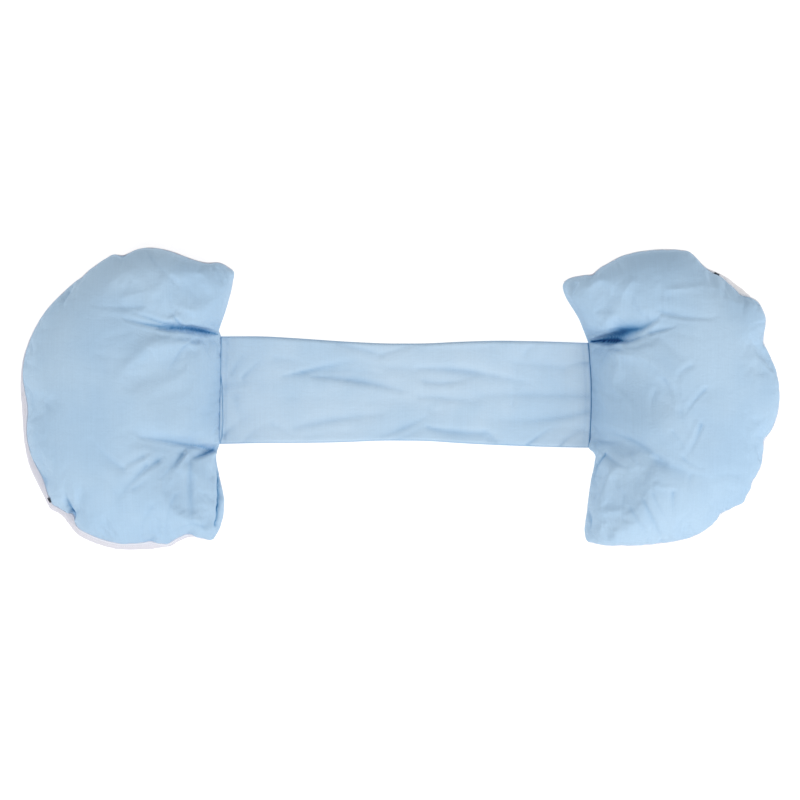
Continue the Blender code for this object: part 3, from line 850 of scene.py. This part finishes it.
class Steps:
    # The nodes of one Geometry Nodes tree, with its named inputs.
    def __init__(self, name, inputs):
        self.tree = bpy.data.node_groups.new(name, "GeometryNodeTree")
        newSocket = self.tree.interface.new_socket
        newSocket("Geometry", in_out="INPUT", socket_type="NodeSocketGeometry")
        self.names = {
            label: newSocket(label, in_out="INPUT", socket_type=kind).identifier
            for label, kind in inputs.items()
        }
        newSocket("Geometry", in_out="OUTPUT", socket_type="NodeSocketGeometry")
        self.given = self.tree.nodes.new("NodeGroupInput").outputs
        self.result = self.tree.nodes.new("NodeGroupOutput").inputs[0]

    def add(self, kind, settings=None, values=None):
        return addNode(self.tree, kind, settings, values).outputs[0]

    def finish(self, shape):
        shape = self.add("GeometryNodeRealizeInstances", None, {0: shape})
        material = self.given["Material"]
        shape = self.add("GeometryNodeSetMaterial", None, {"Geometry": shape, "Material": material})
        self.tree.links.new(shape, self.result)


def evenLine(steps):
    # The line that a piece follows, as a curve with points at even steps.
    given = steps.given
    line = steps.add("GeometryNodeMeshToCurve", None, {0: given["Geometry"]})
    return steps.add(
        "GeometryNodeResampleCurve", {"mode": "LENGTH"}, {"Curve": line, "Length": given["Step"]}
    )


def stitchSteps():
    # Short threads at even steps along a line, each a little different from the next.
    steps = Steps("stitches", {
        "Step": "NodeSocketFloat",
        "Length": "NodeSocketFloat",
        "Width": "NodeSocketFloat",
        "Seed": "NodeSocketInt",
        "Material": "NodeSocketMaterial",
    })
    given = steps.given
    line = evenLine(steps)
    up = steps.add("GeometryNodeInputNamedAttribute", {"data_type": "FLOAT_VECTOR"}, {"Name": "up"})
    turn = steps.add(
        "FunctionNodeAxesToRotation",
        {"primary_axis": "X", "secondary_axis": "Z"},
        {0: steps.add("GeometryNodeInputTangent"), 1: up},
    )
    size = steps.add(
        "ShaderNodeCombineXYZ", None, {0: given["Length"], 1: given["Width"], 2: given["Width"]}
    )
    uneven = steps.add(
        "FunctionNodeRandomValue",
        {"data_type": "FLOAT_VECTOR"},
        {0: (0.86, 0.85, 0.85), 1: (1.08, 1.12, 1.1), 8: given["Seed"]},
    )
    size = steps.add("ShaderNodeVectorMath", {"operation": "MULTIPLY"}, {0: size, 1: uneven})
    thread = steps.add("GeometryNodeMeshUVSphere", None, {"Segments": 6, "Rings": 5, "Radius": 0.5})
    steps.finish(steps.add(
        "GeometryNodeInstanceOnPoints",
        None,
        {"Points": line, "Instance": thread, "Rotation": turn, "Scale": size},
    ))
    return steps


def lipSteps():
    # A folded lip of tape that runs along a line.
    steps = Steps("lip", {
        "Step": "NodeSocketFloat",
        "Radius": "NodeSocketFloat",
        "Material": "NodeSocketMaterial",
    })
    given = steps.given
    line = evenLine(steps)
    ring = steps.add(
        "GeometryNodeCurvePrimitiveCircle", {"mode": "RADIUS"}, {"Resolution": 8, "Radius": given["Radius"]}
    )
    steps.finish(steps.add(
        "GeometryNodeCurveToMesh", None, {"Curve": line, "Profile Curve": ring, "Fill Caps": True}
    ))
    return steps


def sewn(steps, name, line, ups, inputs):
    # A piece that the nodes make along the line.
    mesh = bpy.data.meshes.new(name)
    mesh.from_pydata(line.tolist(), [(i, i + 1) for i in range(len(line) - 1)], [])
    up = mesh.attributes.new("up", "FLOAT_VECTOR", "POINT")
    up.data.foreach_set("vector", ups.astype(np.float32).ravel())
    piece = newPiece(name, mesh, inputs["Material"])
    made = piece.modifiers.new("made", "NODES")
    made.node_group = steps.tree
    for label, value in inputs.items():
        made[steps.names[label]] = value
    settled(piece)
    piece.data.materials.clear()
    piece.data.materials.append(inputs["Material"])
    piece.data.shade_smooth()
    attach(piece, "root")
    print(" ", name, len(piece.data.polygons), "faces")
    return piece


def rowBelow(edge, skin, ends, below, lift):
    # A line on the panel, so far below the sewn edge, from one place of the edge to another.
    for number in range(3):
        edge = (np.roll(edge, 1, axis=0) + 2 * edge + np.roll(edge, -1, axis=0)) / 4
    out = outwardOf(edge)
    first, last = (int(np.hypot(*(edge[:, :2] - np.array(p)).T).argmin()) for p in ends)
    order = np.arange(first, last + 1 if last > first else last + 1 + len(edge)) % len(edge)
    line, ups = [], []
    for i in order:
        place = Vector((*(edge[i, :2] + out[i] * 0.4 * below), max(edge[i, 2] - below, 1 * mm)))
        found, normal = skin.find_nearest(place)[:2]
        line.append(found + normal * lift)
        ups.append(normal)
    line, ups = np.array(line), np.array(ups)
    for number in range(3):
        line[1:-1] = (line[:-2] + 2 * line[1:-1] + line[2:]) / 4
    return line, ups


stitches = stitchSteps()
lip = lipSteps()

undersides = {
    "left": {"flat": (0.35, 0.50), "area": 0.150, "material": whiteCottonShaded},
    "right": {"flat": (0.35, 0.49), "area": 0.138, "material": whiteCottonLit},
}

zipEdge = {
    "lip": {"Step": 2.5 * mm, "Radius": 0.8 * mm, "Material": zipTape},
    "lipBelow": 2.2 * mm,  # below the sewn edge
    "lipLift": 0.5 * mm,  # off the panel
    "stitch": {"Step": 3.6 * mm, "Length": 2.5 * mm, "Width": 0.55 * mm, "Seed": 7, "Material": zipTape},
    "stitchBelow": 6.5 * mm,
    "stitchLift": 0.2 * mm,
}

for name, facts in (("left", leftCushion), ("right", rightCushion)):
    form, side, away, edge = makeCushion(name, facts)
    cut = undersides[name]
    panel = lowerPanel(name, form, cut["material"])
    points = pointsOf(form.data)
    skin = BVHTree.FromPolygons(
        points.tolist(), [tuple(f.vertices) for f in form.data.polygons if f.material_index == 1]
    )
    line, ups = rowBelow(edge, skin, facts["zip"], zipEdge["lipBelow"], zipEdge["lipLift"])
    zipLip = sewn(lip, name + "ZipLip", line, ups, zipEdge["lip"])
    line, ups = rowBelow(edge, skin, facts["zip"], zipEdge["stitchBelow"], zipEdge["stitchLift"])
    row = sewn(stitches, name + "ZipStitches", line, ups, zipEdge["stitch"])
    tuck = 1.4 * mm * np.clip(away / (4 * mm), 0, 1) * (side < 0)
    setPoints(form.data, points - normalsOf(form.data) * tuck[:, None])
    for face in form.data.polygons:
        face.material_index = 0
    form.name = name + "Cushion"
    form.data.materials.clear()
    form.data.materials.append(blueCotton)
    form.data.shade_smooth()
    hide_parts(name + "_cushion")
    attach(form, "root")
    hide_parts(name + "_underside")
    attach(panel, "root")
    print(name, "cushion made:", len(form.data.polygons), "faces, panel", len(panel.data.polygons))


# The band between the cushions

band = {
    "cell": 3.6 * mm,
    "width": 0.17,
    "endCell": 1.4 * mm,  # finer by the two seams
    "endReach": 14 * mm,
    "edgeEase": (-18, -9, 0, 9, 18),  # millimetres, over which the edges' corners are rounded
    "tuckedIn": 1.2 * mm,  # of each end, under its cushion
    "doubled": 1.4 * mm,
    "puff": 2.6 * mm,
    "lipHeight": 1.3 * mm,
    "lift": 5.2 * mm,  # both ends, up to the seams
    "liftReach": 0.055,
    "stitch": {"Step": 3.2 * mm, "Length": 2.2 * mm, "Width": 0.45 * mm, "Seed": 3, "Material": blueThread},
    "stitchInset": 2.6 * mm,
    "leftEnd": ((-0.2886, -0.0715), (-0.2868, 0.0145), (-0.2848, 0.1005)),
    "rightEnd": ((0.3015, -0.0775), (0.3055, 0.0060), (0.3005, 0.0900)),
    "leftLip": [  # y, how wide in millimetres
        (-0.072, 1.0), (-0.060, 4.2), (-0.037, 5.4), (-0.002, 4.6), (0.020, 2.8), (0.044, 0.0),
    ],
    "edges": [  # x, upper edge, lower edge
        (-0.285, 0.1005, -0.0715),
        (-0.220, 0.1010, -0.0700),
        (-0.160, 0.0975, -0.0700),
        (-0.095, 0.0928, -0.0690),
        (-0.028, 0.0893, -0.0660),
        (0.045, 0.0893, -0.0665),
        (0.090, 0.0920, -0.0700),
        (0.156, 0.0940, -0.0735),
        (0.240, 0.0925, -0.0765),
        (0.300, 0.0900, -0.0775),
    ],
    "shoulder": 0.05,
    "wrinkles": [  # rows for pressFolds
        ((-188, 37), (-139, 47), (-64, 64), (1.5, 4, 3, 1), (3, 7, 10), 0.35),
        ((-140, 36), (-70, 32), (0, 14), (2, 4, 2), (4, 8, 6), -0.35),
        ((-118, 46), (-80, 50), (-30, 40), (2.4, 1.5), (12, 10)),
        ((-60, 58), (-10, 48), (40, 50), (1.2, 2.2, 1.6), (10, 12), 0.2),
        ((30, 50), (96, 52), (208, 26), (2, 4, 1.4), (6, 10, 6), 0.35),
        ((40, 28), (75, 20), (112, 34), (2.4, 2.6, 1), (7, 6), -0.35),
        ((30, 4), (70, 2), (120, -4), (1.6, 2.4, 1.4), (6, 7), -0.25),
        ((120, 4), (190, 10), (302, 4), (1.6, 2.4, 2.8), (10, 9), -0.25),
        ((-270, 40), (-262, 56), (-248, 74), (2.4, 0.8), (6, 5)),
        ((-252, 34), (-238, 50), (-222, 64), (2.8, 0.8), (5, 7), 0.3),
        ((-284, 20), (-250, 30), (-215, 30), (2.6, 2, 0.6), (12, 9)),
        ((-262, 4), (-262, -16), (-256, -30), (2.2, 1.2), (9, 8)),
        ((-284, 98), (-276, 90), (-270, 78), (2, 0.8), 6),
        ((-168, -46), (-110, -32), (-30, -24), (2, 3.2, 1.2), (7, 9, 6), -0.25),
        ((-150, -60), (-120, -52), (-80, -52), (1.4, 1), 8),
        ((-100, 90), (-60, 80), (-30, 72), (2.4, 2.6, 2), (6, 8), 0.2),
        ((-30, 72), (-6, 78), (14, 86), (2.2, 1.4), (6, 5), 0.2),
        ((-30, 84), (0, 84), (30, 88), (1.6, 1.2), 8),
        ((-282, -58), (-268, -44), (-238, -20), (3.2, 1.4, 0.6), (5, 8), -0.2),
        ((-250, -70), (-238, -50), (-214, -40), (2, 0.8), (6, 7), 0.2),
        ((-205, -40), (-184, -50), (-172, -60), (1.8, 1), 6),
        ((-30, -60), (6, -48), (40, -30), (2, 3, 1.6), (8, 6), -0.3),
        ((-10, -66), (20, -58), (40, -40), (1.8, 1.4), 6),
        ((46, -44), (72, -53), (138, -53), (2.8, 4, 3), (4, 9, 8), 0.45),
        ((134, -52), (146, -54), (156, -74), (2.6, 2), (5, 4), 0.2),
        ((140, -64), (170, -70), (198, -74), (2.2, 1.2), (6, 5)),
        ((44, -12), (52, -26), (66, -18), (1.2, 0.8), 5),
        ((198, -76), (216, -62), (243, -44), (3.4, 1.2), (3, 4), 0.3),
        ((258, -74), (266, -60), (296, -48), (3, 1.6), (4, 7), -0.3),
        ((302, -20), (240, -38), (152, -34), (3, 2.6, 1.2), (7, 8), 0.3),
        ((302, -52), (272, -44), (250, -46), (1.8, 0.8), 5),
        ((302, 58), (280, 60), (262, 50), (2.8, 2, 1.2), (4, 6), -0.3),
        ((262, 50), (220, 56), (180, 58), (2, 1.2), (8, 10), 0.2),
        ((180, -10), (186, 28), (188, 64), (1.2, 0.8), 3),
        ((150, 84), (120, 78), (50, 80), (1.4, 1), 8),
        ((200, 72), (206, 82), (222, 90), (1.6, 1), 5),
        ((-200, 66), (-176, 64), (-140, 54), (1.6, 0.8), 6, 0.2),
        ((-200, 0), (-150, 6), (-90, 0), (1, 0.8), 9),
        ((-50, -4), (0, 2), (40, -10), (1, 0.6), 9),
    ],
}


def easedEdge(x, places, values):
    shifts = band["edgeEase"]
    return sum(np.interp(x + shift * mm, places, values) for shift in shifts) / len(shifts)


def endOfBand(end, y):
    # The x of one of the band's sewn ends, bowed through its three points.
    return np.polyval(np.polyfit(*np.array(band[end])[:, ::-1].T, 2), y)


def makeBand():
    # A double layer of cloth: a fine grid, flat underneath, with its wrinkles and its two sewn ends.
    rows = np.array(band["edges"])
    length = rows[-1, 0] - rows[0, 0]
    close = np.arange(0, band["endReach"], band["endCell"])
    middle = np.arange(band["endReach"], length - band["endReach"], band["cell"])
    places = np.concatenate([close, middle, length - close[::-1]]) / length
    columns = len(places) - 1
    across = round(band["width"] / band["cell"])
    u, v = np.meshgrid(places, np.linspace(0, 1, across + 1), indexing="ij")
    u, v = u.ravel(), v.ravel()
    x = rows[0, 0] + length * u
    top, low = easedEdge(x, rows[:, 0], rows[:, 1]), easedEdge(x, rows[:, 0], rows[:, 2])
    y = low + (top - low) * v
    ends = [endOfBand("leftEnd", y), endOfBand("rightEnd", y)]
    x = ends[0] - band["tuckedIn"] + (ends[1] - ends[0] + 2 * band["tuckedIn"]) * u
    xy = np.stack([x, y], axis=1)
    toEnd = np.minimum(x - ends[0], ends[1] - x)
    near = np.clip(1 - toEnd / band["liftReach"], 0, 1)
    lift = band["lift"] * near**2 * (3 - 2 * near)
    push, slide, inside = pressFolds(xy, band["wrinkles"], band["shoulder"])
    toEdge = np.minimum(v, 1 - v) * (top - low)
    # the lip that the left seam is folded into
    folded = np.interp(y, *np.array(band["leftLip"]).T) * mm - (x - ends[0])
    lipHeight = band["lipHeight"] * np.clip(folded / (1.2 * mm) + 0.5, 0, 1)
    # painted shade along the lip's fold line
    lipShade = 0.90 * np.exp(-((folded / (1.1 * mm)) ** 2)) * (y < 0.042)
    fromEdge = np.clip(toEdge / (3.5 * mm), 0, 1)
    soft = np.sqrt(fromEdge * (2 - fromEdge))
    puff = band["puff"] * soft * np.clip(toEnd / (12 * mm), 0.6, 1)
    upper = lift + band["doubled"] + puff + (1.6 * mm - push) * soft
    upper = np.maximum(upper, lift + 1.2 * mm) + lipHeight * soft
    lower = lift * 0.98
    wide = across + 1
    count = len(xy)
    points = np.vstack([np.column_stack([xy, lower]), np.column_stack([xy, upper])])
    faces = []
    for i in range(columns):
        for j in range(across):
            a, b = i * wide + j, (i + 1) * wide + j
            faces.append((a, a + 1, b + 1, b))
            faces.append((count + a, count + b, count + b + 1, count + a + 1))
        a, b = i * wide, (i + 1) * wide
        faces.append((a, b, count + b, count + a))
        a, b = a + across, b + across
        faces.append((b, a, count + a, count + b))
    last = columns * wide
    for j in range(across):
        faces.append((j + 1, j, count + j, count + j + 1))
        faces.append((last + j, last + j + 1, count + last + j + 1, count + last + j))
    mesh = bpy.data.meshes.new("band")
    mesh.from_pydata(points.tolist(), [], faces)
    piece = newPiece("bandCloth", mesh, bandCotton)
    # painted shade in the fold attribute: along the band's edges, at its seams, under the lip's fold and in
    # its wrinkles
    edgeShade = 0.55 * np.exp(-((toEdge / (2.2 * mm)) ** 2))
    seamShade = np.where(u > 0.5, 1.0, 0.75) * np.exp(-((toEnd / (1.5 * mm)) ** 2))
    paintedShade = np.maximum(np.maximum(inside * 1.2, edgeShade), np.maximum(lipShade, seamShade))
    setAttribute(mesh, "fold", np.concatenate([np.zeros(count), paintedShade]))
    finer(piece, 1)
    return piece


def bandStitches(piece, name, end, inset):
    # A row beside one of the band's two seams.
    y = np.linspace(-0.064, 0.084, 60)
    x = endOfBand(end, y) + inset
    down = Vector((0, 0, -1))
    found = [piece.ray_cast(Vector((a, b, 0.2)), down) for a, b in zip(x, y)]
    line = np.array([hit[1] + hit[2] * 0.15 * mm for hit in found])
    return sewn(stitches, name, line, np.array([hit[2] for hit in found]), band["stitch"])


bandCloth = makeBand()
bandRows = [
    bandStitches(bandCloth, "bandStitchesLeft", "leftEnd", band["stitchInset"]),
    bandStitches(bandCloth, "bandStitchesRight", "rightEnd", -band["stitchInset"]),
]
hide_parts("band")
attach(bandCloth, "root")
print("band made:", len(bandCloth.data.polygons), "faces")


# The zips' metal pieces, from the frame

for node in ("left_zip_slider", "left_zip_stop", "right_zip_slider"):
    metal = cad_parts[node]
    for slot in metal.material_slots:
        slot.material = zipMetal


# Studio and camera

studio = {
    "sky": 0.40,
    "lamps": [  # name, place, size, power
        ("keyRight", (2.3, -1.5, 2.1), 1.6, 52),
        ("keyLeft", (-2.4, -1.4, 1.9), 1.6, 31),
        ("top", (-0.1, 0.2, 3.4), 2.4, 22),
    ],
}

picture = {
    "metresPerPixel": 0.001583,  # at the height of the seams
    "focusHeight": 0.045,
    "centreX": 0.0002,
    "centreY": -0.0011,
    "pixels": 800,
    "lens": 130.0,
    "sensor": 36.0,
}


def makeStudio():
    reach = 40.0
    corners = [(-reach, -reach, 0), (reach, -reach, 0), (reach, reach, 0), (-reach, reach, 0)]
    mesh = bpy.data.meshes.new("floor")
    mesh.from_pydata(corners, [], [(0, 1, 2, 3)])
    floor = newPiece("floor", mesh, floorPaint)
    floor.location.z = -0.2 * mm
    world = bpy.data.worlds.new("studio")
    world.use_nodes = True
    sky = world.node_tree.nodes["Background"]
    sky.inputs["Color"].default_value = (1, 1, 1, 1)
    sky.inputs["Strength"].default_value = studio["sky"]
    scene.world = world
    for name, place, size, power in studio["lamps"]:
        light = bpy.data.lights.new(name, "AREA")
        light.size = size
        light.energy = power
        lamp = bpy.data.objects.new(name, light)
        lamp.location = place
        lamp.rotation_euler = (-Vector(place)).to_track_quat("-Z", "Y").to_euler()
        scene.collection.objects.link(lamp)


def makeCamera():
    camera = bpy.data.cameras.new("camera")
    camera.lens = picture["lens"]
    camera.sensor_width = picture["sensor"]
    camera.clip_end = 60
    width = picture["metresPerPixel"] * picture["pixels"]
    away = width * camera.lens / camera.sensor_width
    eye = bpy.data.objects.new("camera", camera)
    eye.location = (picture["centreX"], picture["centreY"], picture["focusHeight"] + away)
    scene.collection.objects.link(eye)
    scene.camera = eye


makeStudio()
makeCamera()
scene.view_settings.view_transform = "Standard"
print("studio and camera made")
